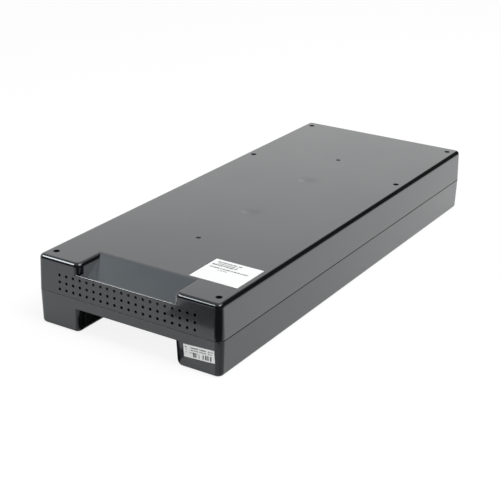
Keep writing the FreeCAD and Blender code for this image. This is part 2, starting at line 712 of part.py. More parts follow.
def make_block():
    """Sealed block standing up, origin in the middle of its foot, tabs towards +X."""
    body = new_body("block_pattern")
    foot = sketch_on(body, "XY_Plane", "Foot")
    rounded_rectangle(foot, "block_length", "block_thickness", "block_edge_radius")
    pad(body, foot, "Jar", "block_height")
    seam = sketch_on(body, "XY_Plane", "LidSeam", "block_height - lid_height")
    rounded_rectangle(seam, "block_length + wall", "block_thickness + wall", "block_edge_radius")
    rounded_rectangle(seam, "block_length - 2 * lid_groove", "block_thickness - 2 * lid_groove",
                      "block_edge_radius - lid_groove")
    pocket(body, seam, "SealGroove", "lid_groove")
    strip = sketch_on(body, "XY_Plane", "ValveCover", "block_height")
    rounded_rectangle(strip, "vent_strip_length", "vent_strip_width", "block_edge_radius")
    pad(body, strip, "ValveStrip", "vent_strip_height")
    slots = sketch_on(body, "XY_Plane", "TabSlots", "block_height")
    for side in ("-", ""):
        middle_y = f"{side}tab_spacing / 2"
        rectangle(slots, "tab_shift - tab_width / 2", "tab_shift + tab_width / 2",
                  f"{middle_y} - tab_thickness / 2", f"{middle_y} + tab_thickness / 2")
    pocket(body, slots, "TabSeats", "tab_foot")
    return body


def make_tab():
    """Push-on blade, origin where it leaves the lid."""
    body = new_body("tab_pattern")
    blade = sketch_on(body, "XZ_Plane", "Blade", "-tab_thickness / 2")
    bevel = "tab_width / 6"
    polygon(blade, [
        ("-tab_width / 2", "-tab_foot"),
        ("tab_width / 2", "-tab_foot"),
        ("tab_width / 2", f"tab_reach - {bevel}"),
        (f"tab_width / 2 - {bevel}", "tab_reach"),
        (f"{bevel} - tab_width / 2", "tab_reach"),
        ("-tab_width / 2", f"tab_reach - {bevel}"),
    ])
    pad(body, blade, "Blade", "tab_thickness")
    hole = sketch_on(body, "XZ_Plane", "Detent", "-tab_thickness / 2")
    circle(hole, "0", "tab_reach / 2", "tab_width / 4")
    pocket(body, hole, "DetentHole", "tab_thickness", reverse=True)
    return body


def make_flag():
    """Flag receptacle over a tab, its crimp barrel towards +X."""
    body = new_body("flag_pattern")
    sleeve = sketch_on(body, "XY_Plane", "Sleeve", "sleeve_gap")
    rounded_rectangle(sleeve, "sleeve_width", "sleeve_thickness", "sleeve_thickness / 4")
    pad(body, sleeve, "Sleeve", "sleeve_length")
    barrel = sketch_on(body, "YZ_Plane", "Barrel", "sleeve_width / 4")
    circle(barrel, "0", "channel_width / 2", "barrel_diameter")
    pad(body, barrel, "Barrel", "barrel_length + sleeve_width / 4")
    slot = sketch_on(body, "XY_Plane", "Slot", "sleeve_gap")
    rectangle(slot, "-tab_width / 2 - slip", "tab_width / 2 + slip",
              "-tab_thickness / 2 - slip", "tab_thickness / 2 + slip")
    pocket(body, slot, "BladeSlot", "tab_reach", reverse=True)
    bore = sketch_on(body, "YZ_Plane", "Bore", "lead_start + barrel_length")
    circle(bore, "0", "channel_width / 2", "lead_diameter + 2 * slip")
    pocket(body, bore, "LeadBore", "barrel_length")
    return body


# name, foot of the block, direction from foot to tabs, direction to the tab end,
# and the directions in which the positive and negative leads leave
LEFT, RIGHT = "-(channel_width / 2 + block_height)", "channel_width / 2 + block_height"
AHEAD, ASTERN = (0, -1, 0), (0, 1, 0)
EAST, WEST = (1, 0, 0), (-1, 0, 0)
BLOCKS = [
    ("front_left", (LEFT, "row_one", "block_middle"), EAST, ASTERN, (AHEAD, ASTERN)),
    ("front_right", (RIGHT, "row_one", "block_middle"), WEST, AHEAD, (ASTERN, ASTERN)),
    ("middle_left", (LEFT, "row_two", "block_middle"), EAST, AHEAD, (AHEAD, ASTERN)),
    ("middle_right", (RIGHT, "row_two", "block_middle"), WEST, ASTERN, (AHEAD, ASTERN)),
    ("rear", ("0", "rear_face - block_height", "block_middle"), ASTERN, WEST, (WEST, EAST)),
]


def moved(spot, *steps):
    """A spot shifted by (direction, formula) steps along the world's axes."""
    for direction, text in steps:
        spot = tuple(f"{start} + {part} * ({text})" if part else start
                     for start, part in zip(spot, direction))
    return spot


def make_blocks():
    """The five blocks, their tabs, and the receptacles pushed onto the tabs."""
    block, tab, flag = make_block(), make_tab(), make_flag()
    pieces, flags = [], []
    for name, foot, outward, tab_end, leaves in BLOCKS:
        pieces.append(place(f"battery_{name}", block, foot, tab_end, outward))
        side = tuple(int(part) for part in Vector(*outward).cross(Vector(*tab_end)))
        poles = (("positive", "-tab_spacing / 2"), ("negative", "tab_spacing / 2"))
        for (pole, step), leave in zip(poles, leaves):
            root = moved(foot, (outward, "block_height"), (tab_end, "tab_shift"), (side, step))
            pieces.append(place(f"{pole}_tab_{name}", tab, root, tab_end, outward))
            flags.append(place(f"flag_{pole}_{name}", flag, root, leave, outward))
    return pieces + [gather("flag_receptacles", flags)]


# ---------------------------------------------------------------- wiring
def make_lead(label, stops, bend):
    """An insulated lead: straight runs through the stops, joined by tangent arcs."""
    points = [Vector(*(value(text) for text in stop)) for stop in stops]
    radius, start, edges = value(bend), points[0], []
    for before, corner, after in zip(points, points[1:], points[2:]):
        back, ahead = (before - corner).normalize(), (after - corner).normalize()
        half_turn = (math.pi - back.getAngle(ahead)) / 2
        reach = radius * math.tan(half_turn)
        bisector = (back + ahead).normalize()
        centre = corner + bisector * (radius / math.cos(half_turn))
        arc_start, arc_end = corner + back * reach, corner + ahead * reach
        edges.append(Part.LineSegment(start, arc_start).toShape())
        edges.append(Part.Arc(arc_start, centre - bisector * radius, arc_end).toShape())
        start = arc_end
    edges.append(Part.LineSegment(start, points[-1]).toShape())
    route = Part.Wire(edges)
    way = (points[1] - points[0]).normalize()
    section = Part.Wire(Part.makeCircle(value("lead_diameter") / 2, points[0], way))
    lead = doc.addObject("Part::Feature", label)
    lead.Label = label
    lead.Shape = Part.Solid(route.makePipeShell([section], True, False))
    wanted = math.pi * value("lead_diameter / 2") ** 2 * route.Length
    if not near(lead.Shape.Volume / wanted, 1, 0.01):
        raise RuntimeError(f"{label}: the tube doesn't follow its route")
    return lead


def make_leads():
    low, high, floor_run = "tab_low", "tab_high", "floor_lead_height"
    front_tabs, back_tabs = "row_one - tab_shift", "row_one + tab_shift"
    joint_tabs, end_tabs = "row_two - tab_shift", "row_two + tab_shift"
    slant_start, slant_end = "lead_start + link_run", "lead_start - link_run"
    positive_x, negative_x = "contact_spacing / 2", "-contact_spacing / 2"
    return [
        make_lead("link_front", [
            ("0", f"{front_tabs} + lead_start", high),
            ("0", f"{front_tabs} + {slant_start}", high),
            ("0", f"{back_tabs} - ({slant_start})", low),
            ("0", f"{back_tabs} - lead_start", low),
        ], "link_bend"),
        make_lead("link_left", [
            ("0", f"{back_tabs} + lead_start", high),
            ("0", f"{joint_tabs} - lead_start", high),
        ], "link_bend"),
        make_lead("link_middle", [
            ("0", f"{joint_tabs} + lead_start", low),
            ("0", f"{joint_tabs} + {slant_start}", low),
            ("0", f"{end_tabs} - ({slant_start})", high),
            ("0", f"{end_tabs} - lead_start", high),
        ], "link_bend"),
        make_lead("link_rear", [
            ("0", f"{end_tabs} + lead_start", low),
            ("0", "cross_gap", low),
            ("-route_side", "cross_gap", low),
            ("-route_side", "rear_leads", low),
            ("-tab_shift - lead_start", "rear_leads", low),
        ], "lead_bend"),
        make_lead("negative_lead", [
            ("-tab_shift + lead_start", "rear_leads", high),
            (f"{negative_x} - lead_bend * 3", "rear_leads", high),
            (f"{negative_x} - lead_bend * 1.6", "rear_leads", "connector_middle"),
            (negative_x, "rear_leads", "connector_middle"),
            (negative_x, "connector_rear", "connector_middle"),
        ], "lead_bend"),
        make_lead("positive_lead", [
            ("0", f"{front_tabs} + lead_start", low),
            ("0", f"{front_tabs} + {slant_start}", low),
            ("0", f"{front_tabs} + 2 * ({slant_start})", floor_run),
            ("0", "cross_gap", floor_run),
            ("route_side", "cross_gap", floor_run),
            ("route_side", "cross_gap + block_height / 3", floor_run),
            ("route_side", "rear_face - block_height / 3", "connector_middle"),
            ("route_side", "rear_leads", "connector_middle"),
            ("fuse_right + clip_thickness", "rear_leads", "connector_middle"),
        ], "lead_bend"),
        make_lead("fused_lead", [
            ("fuse_left - clip_thickness", "rear_leads", "connector_middle"),
            (positive_x, "rear_leads", "connector_middle"),
            (positive_x, "connector_rear", "connector_middle"),
        ], "lead_bend"),
    ]


def make_fuse():
    """Cartridge fuse in two spring clips on a base."""
    fuse = new_body("fuse")
    half = sketch_on(fuse, "XZ_Plane", "HalfSection")
    cap, barrel = "fuse_diameter / 2", "fuse_diameter / 2 - cap_step"
    polygon(half, [
        ("0", "0"), ("fuse_length", "0"), ("fuse_length", cap),
        ("fuse_length - cap_length", cap), ("fuse_length - cap_length", barrel),
        ("cap_length", barrel), ("cap_length", cap), ("0", cap),
    ])
    turned = fuse.newObject("PartDesign::Revolution", "Turned")
    turned.Profile = half
    turned.ReferenceAxis = (half, ["H_Axis"])
    turned.Angle = 360
    bind(fuse, x="fuse_left", y="rear_leads", z="connector_middle")

    base = new_body("fuse_base")
    foot = sketch_on(base, "XY_Plane", "Foot")
    rounded_rectangle(foot, "fuse_length + 2 * base_end", "base_width", "base_end / 2")
    pad(base, foot, "Plate", "base_height")
    bind(base, x="fuse_middle", y="rear_leads", z="fuse_seat - base_height")

    clip = make_clip()
    spot = ("rear_leads", "connector_middle")
    clips = [
        place("fuse_clip_left", clip, ("fuse_left", *spot), (1, 0, 0), (0, 0, 1)),
        place("fuse_clip_right", clip, ("fuse_right", *spot), (-1, 0, 0), (0, 0, 1)),
    ]
    return [fuse, base] + clips


def make_clip():
    """Spring clip for the end of a fuse, which starts at the origin and runs towards +X."""
    clip = new_body("clip_pattern")
    inner, outer = "(fuse_diameter / 2 + slip)", "(fuse_diameter / 2 + slip + clip_thickness)"
    grip = sketch_on(clip, "YZ_Plane", "Grip")
    circle(grip, "0", "0", f"2 * {outer}")
    circle(grip, "0", "0", f"2 * {inner}")
    pad(clip, grip, "Ring", "clip_width")
    foot = sketch_on(clip, "YZ_Plane", "Foot")
    rectangle(foot, "-fuse_diameter / 4", "fuse_diameter / 4", f"-{outer}",
              f"-{inner} - slip / 2")
    pad(clip, foot, "ClipFoot", "clip_width")
    end = sketch_on(clip, "YZ_Plane", "EndPlate")
    circle(end, "0", "0", f"2 * {outer}")
    pad(clip, end, "EndStop", "clip_thickness", reverse=True)
    mouth = sketch_on(clip, "YZ_Plane", "Mouth", "-clip_thickness")
    rectangle(mouth, f"-{outer} - slip", f"{outer} + slip", "fuse_diameter / 5", f"{outer} + slip")
    pocket(clip, mouth, "OpenTop", "clip_width + clip_thickness", reverse=True)
    crimp = sketch_on(clip, "YZ_Plane", "Crimp", "-clip_thickness")
    circle(crimp, "0", "0", "stub_diameter")
    circle(crimp, "0", "0", "lead_diameter + 2 * slip")
    pad(clip, crimp, "CrimpBarrel", "stub_length", reverse=True)
    return clip


# ---------------------------------------------------------------- connector
def make_connector():
    """Blind-mate connector held by its flange between the cradle and the back wall."""
    body = new_body("connector_housing")

    def facing(name, lift, width, height, radius="wall / 5"):
        sketch = sketch_on(body, "XZ_Plane", name, lift)
        rounded_rectangle(sketch, width, height, radius, "connector_middle")
        return sketch

    def pair(name, lift, width, height):
        sketch = sketch_on(body, "XZ_Plane", name, lift)
        low, high = f"connector_middle - {height} / 2", f"connector_middle + {height} / 2"
        for side in ("-", ""):
            middle_x = f"{side}contact_spacing / 2"
            rectangle(sketch, f"{middle_x} - {width} / 2", f"{middle_x} + {width} / 2", low, high)
        return sketch

    face = facing("Face", "-connector_face", "connector_width", "connector_height", "wall")
    pad(body, face, "Housing", "connector_depth")
    flange = facing("Flange", "-flange_back", "connector_width + 2 * flange_reach",
                    "2 * flange_half_height", "wall")
    pad(body, flange, "FlangePlate", "flange_thickness")
    sockets = pair("Sockets", "-connector_face", "socket_width", "socket_height")
    pocket(body, sockets, "PowerSockets", "socket_depth", reverse=True)
    slots = pair("Slots", "-connector_rear", "(contact_thickness + 2 * slip)",
                 "(contact_width + 2 * slip)")
    pocket(body, slots, "ContactSlots", "connector_depth - socket_depth")
    signal = facing("Signal", "-connector_face", "signal_width", "signal_height")
    pocket(body, signal, "SignalSocket", "signal_depth", reverse=True)
    holes = sketch_on(body, "XZ_Plane", "PinHoles", "signal_depth - connector_face")
    for number in range(int(value("pin_count"))):
        circle(holes, pin_place(number), "connector_middle", "pin_diameter + 2 * slip")
    pocket(body, holes, "PinSeats", "signal_depth / 2", reverse=True)
    return [body, make_contacts(), make_pins()]


def pin_place(number):
    return f"({number} - (pin_count - 1) / 2) * pin_pitch"


def make_contacts():
    """Both power blades, each with the stub that its lead is crimped into."""
    contact = new_body("contact_pattern")
    blade = sketch_on(contact, "XZ_Plane", "Blade")
    rectangle(blade, "-contact_thickness / 2", "contact_thickness / 2",
              "-contact_width / 2", "contact_width / 2")
    pad(contact, blade, "Blade", "connector_depth - socket_depth + contact_reach", reverse=True)
    stub = sketch_on(contact, "XZ_Plane", "Stub")
    circle(stub, "0", "0", "stub_diameter")
    circle(stub, "0", "0", "lead_diameter + 2 * slip")
    pad(contact, stub, "CrimpStub", "stub_length")
    return gather("power_contacts", [
        place(f"{pole}_contact", contact,
              (f"{side}contact_spacing / 2", "connector_rear", "connector_middle"),
              (1, 0, 0), (0, 0, 1))
        for pole, side in (("negative", "-"), ("positive", ""))])


def make_pins():
    pins = []
    for number in range(int(value("pin_count"))):
        pin = doc.addObject("Part::Cylinder", f"signal_pin_{number + 1}")
        pin.Placement = FreeCAD.Placement(Vector(), FreeCAD.Rotation(Vector(1, 0, 0), -90))
        bind(pin, Radius="pin_diameter / 2", Height="signal_depth / 2 + pin_reach",
             x=pin_place(number), y="connector_face - signal_depth * 3 / 2",
             z="connector_middle")
        pins.append(pin)
    return gather("signal_pins", pins)


# ---------------------------------------------------------------- foam and labels
def slab(label, length, width, height, spot):
    """A plain box, its lowest corner at the spot."""
    box = doc.addObject("Part::Box", label)
    box.Label = label
    return bind(box, Length=length, Width=width, Height=height, **dict(zip(WORLD, spot)))


def make_foam():
    """Foam strips that press the blocks down when the cover goes on."""
    top = "floor + block_thickness"
    wide, long = "block_height - 2 * foam_inset", "2 * block_length + row_gap - 2 * foam_inset"
    along = "front + front_bay + foam_inset"
    right = "channel_width / 2 + foam_inset"
    rear = ("foam_inset - block_length / 2", "rear_face - block_height + foam_inset", top)
    return [
        slab("foam_left", wide, long, "foam_thickness", (f"-({right}) - ({wide})", along, top)),
        slab("foam_right", wide, long, "foam_thickness", (right, along, top)),
        slab("foam_rear", "block_length - 2 * foam_inset", wide, "foam_thickness", rear),
    ]


def make_labels():
    """A bare paper label on the cover, and one on the tray's right foot."""
    top = slab("top_label", "top_label_width", "top_label_length", "label_thickness",
               ("half_width - top_label_side_inset - top_label_width",
                "front + top_label_front_inset", "case_height"))
    front = new_body("front_label")
    face = sketch_on(front, "XZ_Plane", "Sheet")
    rectangle(face, "-front_label_width / 2", "front_label_width / 2",
              "-front_label_height / 2", "front_label_height / 2")
    pad(front, face, "Paper", "label_thickness")
    lean = FreeCAD.Rotation(Vector(1, 0, 0), value("draft_angle"))
    tilt = FreeCAD.Rotation(Vector(0, 1, 0), -value("front_label_tilt"))
    front.Placement = FreeCAD.Placement(Vector(), lean * tilt)
    bind(front, x="half_width - front_label_side_inset", z="front_label_rise",
         y="front + (parting_height - front_label_rise) * draft_slope")
    return [top, front]


# ---------------------------------------------------------------- build and write
def make_all():
    pieces = [make_lower_shell(), make_upper_shell()]
    pieces += make_blocks() + make_case_screws() + make_foam()
    pieces += make_leads() + make_fuse() + make_connector() + make_labels()
    doc.recompute()
    for item in doc.Objects:
        if {"Invalid", "Error"} & set(item.State):
            raise RuntimeError(f"{item.Name} failed: {item.State}")
    for piece in pieces:
        shape = piece.Shape
        if shape.isNull() or not shape.isValid() or not shape.Solids:
            raise RuntimeError(f"{piece.Label} has no sound shape")
    return pieces


os.makedirs("parts", exist_ok=True)
for piece in make_all():
    piece.Shape.exportStep(f"parts/{piece.Label}.step")
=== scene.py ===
import math

import bmesh
import bpy
from mathutils import Matrix, Vector


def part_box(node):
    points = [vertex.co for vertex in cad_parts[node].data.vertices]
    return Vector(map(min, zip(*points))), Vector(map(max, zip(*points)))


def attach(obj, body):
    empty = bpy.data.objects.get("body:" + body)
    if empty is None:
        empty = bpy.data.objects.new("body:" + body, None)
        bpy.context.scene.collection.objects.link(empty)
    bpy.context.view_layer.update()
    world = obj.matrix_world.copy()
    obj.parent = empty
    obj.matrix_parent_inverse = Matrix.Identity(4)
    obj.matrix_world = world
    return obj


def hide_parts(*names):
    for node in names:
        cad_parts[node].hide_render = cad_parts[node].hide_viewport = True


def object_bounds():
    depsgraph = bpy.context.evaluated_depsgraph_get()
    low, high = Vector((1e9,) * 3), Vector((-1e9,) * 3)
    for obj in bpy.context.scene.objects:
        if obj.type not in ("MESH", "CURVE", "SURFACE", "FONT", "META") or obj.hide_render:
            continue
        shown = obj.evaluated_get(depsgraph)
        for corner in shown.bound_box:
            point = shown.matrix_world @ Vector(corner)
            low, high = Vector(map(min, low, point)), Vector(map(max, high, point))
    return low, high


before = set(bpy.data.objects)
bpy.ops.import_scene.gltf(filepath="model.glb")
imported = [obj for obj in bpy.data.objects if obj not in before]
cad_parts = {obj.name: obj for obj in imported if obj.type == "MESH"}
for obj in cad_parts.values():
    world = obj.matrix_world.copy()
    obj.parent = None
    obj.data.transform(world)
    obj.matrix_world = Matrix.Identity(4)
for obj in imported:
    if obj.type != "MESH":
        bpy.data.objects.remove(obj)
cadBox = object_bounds()
low, high = cadBox
print("frame loaded")


# a node's output, so that shader sums read as sums
class Wire:
    def __init__(self, owner, socket):
        self.owner = owner
        self.socket = socket

    def maths(self, operation, *values):
        return self.owner.node("ShaderNodeMath", {"operation": operation}, *values)

    def __add__(self, other):
        return self.maths("ADD", self, other)

    def __radd__(self, other):
        return self.maths("ADD", other, self)

    def __sub__(self, other):
        return self.maths("SUBTRACT", self, other)

    def __rsub__(self, other):
        return self.maths("SUBTRACT", other, self)

    def __mul__(self, other):
        return self.maths("MULTIPLY", self, other)

    def __rmul__(self, other):
        return self.maths("MULTIPLY", other, self)

    def __truediv__(self, other):
        return self.maths("DIVIDE", self, other)

    def __rtruediv__(self, other):
        return self.maths("DIVIDE", other, self)

    def __abs__(self):
        return self.maths("ABSOLUTE", self)

    def __gt__(self, other):
        return self.maths("GREATER_THAN", self, other)

    def __lt__(self, other):
        return self.maths("LESS_THAN", self, other)

    def within(self, start, end):
        return (self > start) * (self < end)

    def hump(self, middle, reach):
        # 1 in the middle, falling away smoothly over reach
        away = (self - middle) / reach
        return self.maths("EXPONENT", away * away * -1)

    def ramp(self, start, end, first=0, last=1):
        smooth = {"interpolation_type": "SMOOTHSTEP"}
        return self.owner.node("ShaderNodeMapRange", smooth, self, start, end, first, last)


# a tree of nodes, and the one way that a node gets into it
class Tree:
    mixSockets = (0, 6, 7)  # share and the two colours of a Mix node
    mixResult = 2

    def __init__(self, tree):
        self.tree = tree

    def node(self, kind, settings, *values, out=0, **named):
        made = self.tree.nodes.new(kind)
        for key, value in settings.items():
            setattr(made, key, value)
        spots = list(zip(made.inputs, values))
        spots += [(made.inputs[key.replace("_", " ")], value) for key, value in named.items()]
        for socket, value in spots:
            self.feed(socket, value)
        return Wire(self, made.outputs[out])

    def feed(self, socket, value):
        if isinstance(value, Wire):
            self.tree.links.new(value.socket, socket)
        else:
            socket.default_value = value

    def most(self, first, *others):
        for other in others:
            first = first.maths("MAXIMUM", first, other)
        return first

    def blend(self, share, first, second):
        made = self.node("ShaderNodeMix", {"data_type": "RGBA"}, out=self.mixResult)
        for place, value in zip(self.mixSockets, (share, first, second)):
            self.feed(made.socket.node.inputs[place], value)
        return made

    def rays(self, *kinds):
        made = self.node("ShaderNodeLightPath", {}).socket.node
        return [Wire(self, made.outputs[f"Is {kind} Ray"]) for kind in kinds]

    def show(self, output, shader):
        self.feed(self.tree.nodes[output].inputs["Surface"], shader)


# one material with its nodes
class Look(Tree):
    def __init__(self, name, **fixed):
        self.material = bpy.data.materials.new(name)
        self.material.use_nodes = True
        super().__init__(self.material.node_tree)
        self.shader = self.tree.nodes["Principled BSDF"]
        for key, value in fixed.items():
            self.set(key.replace("_", " "), value)
        self.spot = self.node("ShaderNodeTexCoord", {}, out="Object")
        self.x, self.y, self.z = self.split(self.spot)

    def set(self, name, value):
        self.feed(self.shader.inputs[name], value)

    def split(self, vector):
        made = self.node("ShaderNodeSeparateXYZ", {}, vector).socket.node
        return [Wire(self, socket) for socket in made.outputs]

    def noise(self, scale, detail=2, stretch=(1, 1, 1)):
        where = self.node("ShaderNodeVectorMath", {"operation": "MULTIPLY"}, self.spot, stretch)
        return self.node("ShaderNodeTexNoise", {}, Vector=where, Scale=scale, Detail=detail)

    def facing(self):
        normal = self.node("ShaderNodeNewGeometry", {}, out="Normal")
        return self.split(normal)

    def relief(self, height):
        # height in metres
        self.set("Normal", self.node("ShaderNodeBump", {}, Height=height, Strength=1.0, Distance=1.0))

    def dress(self, *nodes):
        for node in nodes:
            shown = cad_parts[node]
            for slot in shown.material_slots:
                slot.material = self.material


def grey(level, tint=0.0):
    # tint leans it to blue
    return (level * (1 - tint), level, level * (1 + tint), 1)


def place(name, shape, material):
    # an object from a finished bmesh
    mesh = bpy.data.meshes.new(name)
    shape.to_mesh(mesh)
    shape.free()
    mesh.materials.append(material)
    made = bpy.data.objects.new(name, mesh)
    bpy.context.collection.objects.link(made)
    return made


# ---- moulded case, lengths in metres
case = {
    "shells": ("upper_shell", "lower_shell"),
    "plastic": {
        "IOR": 1.41,
        "Coat_IOR": 1.45,
        "Coat_Roughness": 0.09,
        # reflections lean blue: a painted cool tint for the surroundings they show
        "Specular_Tint": (0.84, 0.95, 1.0, 1),
    },
    "dark": grey(0.012, 0.06),
    "light": grey(0.020, 0.08),
    # darker on the rounded edges: painted shade for the dark bands along them
    "edge": grey(0.004, 0.05),
    # lighter and bluish on the ramp: painted reflection of a pale bluish sky
    "ramp": grey(0.036, 0.2),
    # near black: painted shade in the trough, the vents and the screw wells, and the dark seam of the
    # shells
    "paintedShadeAndSeam": grey(0.0015),
    # scale, detail and stretch of each noise
    "grain": (1500, 2),
    "broad": (38, 3),
    "cloudy": (13, 2),
    "wavy": (7, 3, (1, 0.6, 1)),
    # what each thing adds to the roughness, the relief and the coat
    "rough": {"rest": 0.07, "flat": 0.13, "grain": 0.05, "broad": 0.05, "ramp": -0.06, "paintedShadeAndSeam": 0.5},
    "depth": {"wavy": 0.00030, "grain": 0.0000045, "broad": 0.00001},
    "coat": {"rest": 0.25, "flat": 0.6, "cloudy": 0.14},
    # shares of the normal: a face turns flat between these two, and is level above this one
    "flatFrom": (0.975, 0.998),
    "level": 0.95,
    # the recess: half width, rear end
    "recess": (0.060, low.y + 0.045),
    # its ramp: slope, start and end along the case, most sideways and least upwards share of the
    # normal, and how squarely a face lies on the slope where the ramp's colour starts and is full
    "rampSlope": math.radians(35.6),
    "rampReach": (low.y + 0.008, low.y + 0.045),
    "rampTilt": (0.05, 0.79),
    "rampFrom": (0.86, 0.99),
    # painted shade on the trough's floor behind the lip: floor, tolerance, rear end
    "gutter": (low.z + 0.0530, 0.0004, low.y + 0.0106),
    # painted shade inside the vents: start and end along, bottom and top, half width
    "vents": ((low.y + 0.0010, low.y + 0.0045), (low.z + 0.038, low.z + 0.058), 0.0795),
    # painted shade inside the cover, which the screw wells show: half width, half length, bottom and
    # top
    "wells": (0.0985, 0.2545, (low.z + 0.0365, high.z - 0.0002)),
    # the line where the shells meet: height, tolerance, strength
    "parting": (low.z + 0.0355, 0.0005, 0.9),
    # painted highlight along the lip's edge, as full coat: bottom, rear end, half width
    "lip": (low.z + 0.0588, low.y + 0.0040, 0.052),
    # the top's skin starts here; two sink marks lie along it
    "topSkin": high.z - 0.003,
    "dimples": (low.y + 0.203, low.y + 0.320),
    # each mark: middle across, reach, depth; the sink line across the top: middle along, reach, depth
    "dent": (0.0006, 0.0052, 0.00012),
    "sinkLine": (low.y + 0.0365, 0.0011, 0.00002),
    # painted highlight and painted shade beside each mark, in the coat: place across and along, reach
    # across and along, gain in coat
    "glints": ((-0.001, -0.001, 0.0035, 0.0026, 0.4), (0.008, 0.004, 0.008, 0.008, -0.2)),
    # painted shade as coat taken off the top and the low sides, more towards the front: share of the
    # normal, start and end along, loss at both
    "worn": ((0.9, 0.99), (low.y, 0.0, 0.26, 0.15)),
    "paintedLowShade": ((0.5, 0.9), (low.y, high.y, 0.38, 0.0)),
}


def makeCaseLook():
    look = Look("case_plastic", **case["plastic"])
    x, y, z = look.x, look.y, look.z
    side, front, up = look.facing()
    grain = look.noise(*case["grain"])
    broad = look.noise(*case["broad"])
    wavy = look.noise(*case["wavy"])

    # the flats have a second, clearer gloss; the rounded edges get less coat and a darker colour as
    # painted shade, for the dark bands along them
    sideways, upwards = case["rampTilt"]
    slope = up * math.cos(case["rampSlope"]) - front * math.sin(case["rampSlope"])
    rampFace = (abs(side) < sideways) * (up > upwards) * y.within(*case["rampReach"])
    flat = look.most(look.most(abs(side), abs(front), up).ramp(*case["flatFrom"]), rampFace)
    ramp = rampFace * slope.ramp(*case["rampFrom"])

    # painted shade where things lie deep, and the dark seam where the shells meet
    floor, near, end = case["gutter"]
    gutter = (abs(z - floor) < near) * (y < end) * (up > case["level"])
    deep, tall, half = case["vents"]
    vents = y.within(*deep) * z.within(*tall) * (abs(x) < half)
    half, end = case["recess"]
    recess = (abs(x) < half) * (y < end)
    across, along, tall = case["wells"]
    wells = (abs(x) < across) * (abs(y) < along) * z.within(*tall) * (1 - recess)
    seam, near, share = case["parting"]
    paintedShadeAndSeam = look.most(gutter, vents, wells, (abs(z - seam) < near) * share)

    middle, reach, depth = case["sinkLine"]
    sunk = y.hump(middle, reach) * depth
    shade = 0.0
    for middle in case["dimples"]:
        centre, reach, depth = case["dent"]
        sunk = sunk + x.hump(centre, reach) * y.hump(middle, reach) * depth
        # painted highlight on one side of each dent and painted shade on the other, in the coat
        for across, along, wide, long, gain in case["glints"]:
            shade = shade + x.hump(across, wide) * y.hump(middle + along, long) * gain
    top = (up > case["level"]) * (z > case["topSkin"])
    lift = case["depth"]
    look.relief(wavy * lift["wavy"] + grain * lift["grain"] + broad * lift["broad"] - top * sunk)

    colour = look.blend(broad, case["dark"], case["light"])
    # painted shade on the rounded edges
    colour = look.blend(flat, case["edge"], colour)
    # painted bluish reflection on the ramp
    colour = look.blend(ramp, colour, case["ramp"])
    look.set("Base Color", look.blend(paintedShadeAndSeam, colour, case["paintedShadeAndSeam"]))
    rough = case["rough"]
    gloss = rough["rest"] + flat * rough["flat"] + grain * rough["grain"] + broad * rough["broad"]
    look.set("Roughness", gloss + ramp * rough["ramp"] + paintedShadeAndSeam * rough["paintedShadeAndSeam"])

    # painted shade: less coat on the top towards the front
    tilt, along = case["worn"]
    worn = up.ramp(*tilt) * y.ramp(*along) * (1 - ramp)
    # painted shade: less coat on the low sides towards the front, where they show the floor's shade
    tilt, along = case["paintedLowShade"]
    paintedLowShade = (z < seam) * abs(side).ramp(*tilt) * y.ramp(*along)
    bottom, end, half = case["lip"]
    lip = (z > bottom) * (y < end) * (abs(x) < half)  # painted highlight along the lip
    coat = case["coat"]
    cloudy = (look.noise(*case["cloudy"]) - 0.5) * coat["cloudy"]
    clear = coat["rest"] + flat * coat["flat"] - worn - paintedLowShade + top * (shade + cloudy)
    look.set("Coat Weight", look.most(clear, lip) * (1 - paintedShadeAndSeam))
    return look


makeCaseLook().dress(*case["shells"])
print("case done")


# ---- labels, blank fields and plain bars
paper = {
    "speckle": (900, 3),
    "speckleGloss": 0.15,
    "speckleDepth": 0.00001,
}


def finishPaper(look, ink, label):
    speckle = look.noise(*paper["speckle"])
    look.set("Base Color", look.blend(ink, label["paper"], label["ink"]))
    look.set("Roughness", label["gloss"] + speckle * paper["speckleGloss"])
    look.relief(speckle * paper["speckleDepth"])
    return look


topLabel = {
    "paper": grey(0.74, 0.006),
    "ink": grey(0.05),
    "gloss": 0.45,
    "strength": 0.9,
    # start and end across, middle along, half height, all in metres from the sheet's left front corner
    "bars": (
        (0.0050, 0.0310, 0.0405, 0.0010),
        (0.0070, 0.0290, 0.0372, 0.0008),
        (0.0030, 0.0300, 0.0338, 0.0012),
        (0.0040, 0.0455, 0.0280, 0.0011),
        (0.0150, 0.0250, 0.0240, 0.0007),
    ),
    # the noise that breaks the bars up, and from where it lets ink through
    "gaps": (800, 0, (1, 0.02, 0.02)),
    "gapsFrom": 0.4,
}


def makeTopLabelLook():
    look = Look("label_top_paper")
    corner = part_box("top_label")[0]
    across, along = look.x - corner.x, look.y - corner.y
    bars = 0.0
    for start, end, middle, half in topLabel["bars"]:
        bars = bars + across.within(start, end) * (abs(along - middle) < half)
    gaps = look.noise(*topLabel["gaps"]) > topLabel["gapsFrom"]
    return finishPaper(look, bars * gaps * topLabel["strength"], topLabel)


frontLabel = {
    "paper": grey(0.72, 0.004),
    "ink": grey(0.03),
    "gloss": 0.4,
    "lean": math.radians(3.4),
    # start and end across, middle up, half height, all in metres from the sheet's middle
    "rows": (
        (-0.0150, 0.0150, 0.0038, 0.00065),
        (-0.0142, 0.0142, 0.0014, 0.00050),
        (-0.0142, -0.0045, -0.0012, 0.00040),
    ),
    "rowGaps": (1000, 0, (1, 1, 0.02)),
    "rowGapsFrom": 0.38,
    "rowStrength": 0.8,
    # start and end across, bottom and top of the field of upright bars
    "bars": (-0.0065, 0.0135, -0.0050, -0.0004),
    "barGaps": (1300, 0, (1, 0.02, 0.02)),
    "barGapsFrom": 0.47,
    "barStrength": 0.95,
}


